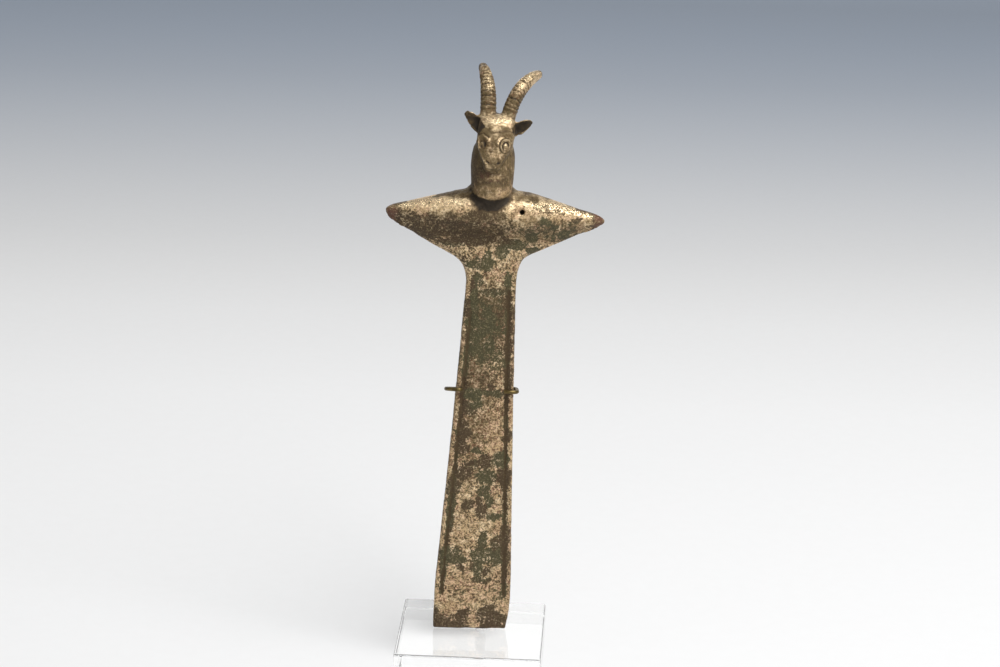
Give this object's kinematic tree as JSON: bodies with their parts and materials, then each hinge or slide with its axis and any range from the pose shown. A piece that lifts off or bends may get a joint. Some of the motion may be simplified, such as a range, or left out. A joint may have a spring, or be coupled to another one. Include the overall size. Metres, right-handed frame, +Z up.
{
  "type": "bronze axe head",
  "caption": "Cast bronze axe head with a long flared blade, pointed side arms and a goat's head with ribbed horns, held upright by a wire cradle on a clear block.",
  "frame": {"origin": "centre of the underside of the clear block", "axes": "+Z up, -Y the way the goat's head and the grooved face look, X along the block's front edge"},
  "size_m": [0.0731, 0.05, 0.2088],
  "materials": {
    "bronze": "worn, with dark and green patina in spots",
    "wire": "toned brass wire, satin",
    "acrylic": "clear and polished"
  },
  "bodies": {
    "root": {"axe_head": "bronze", "cradle": "wire", "foot": "acrylic"}
  },
  "joints": []
}
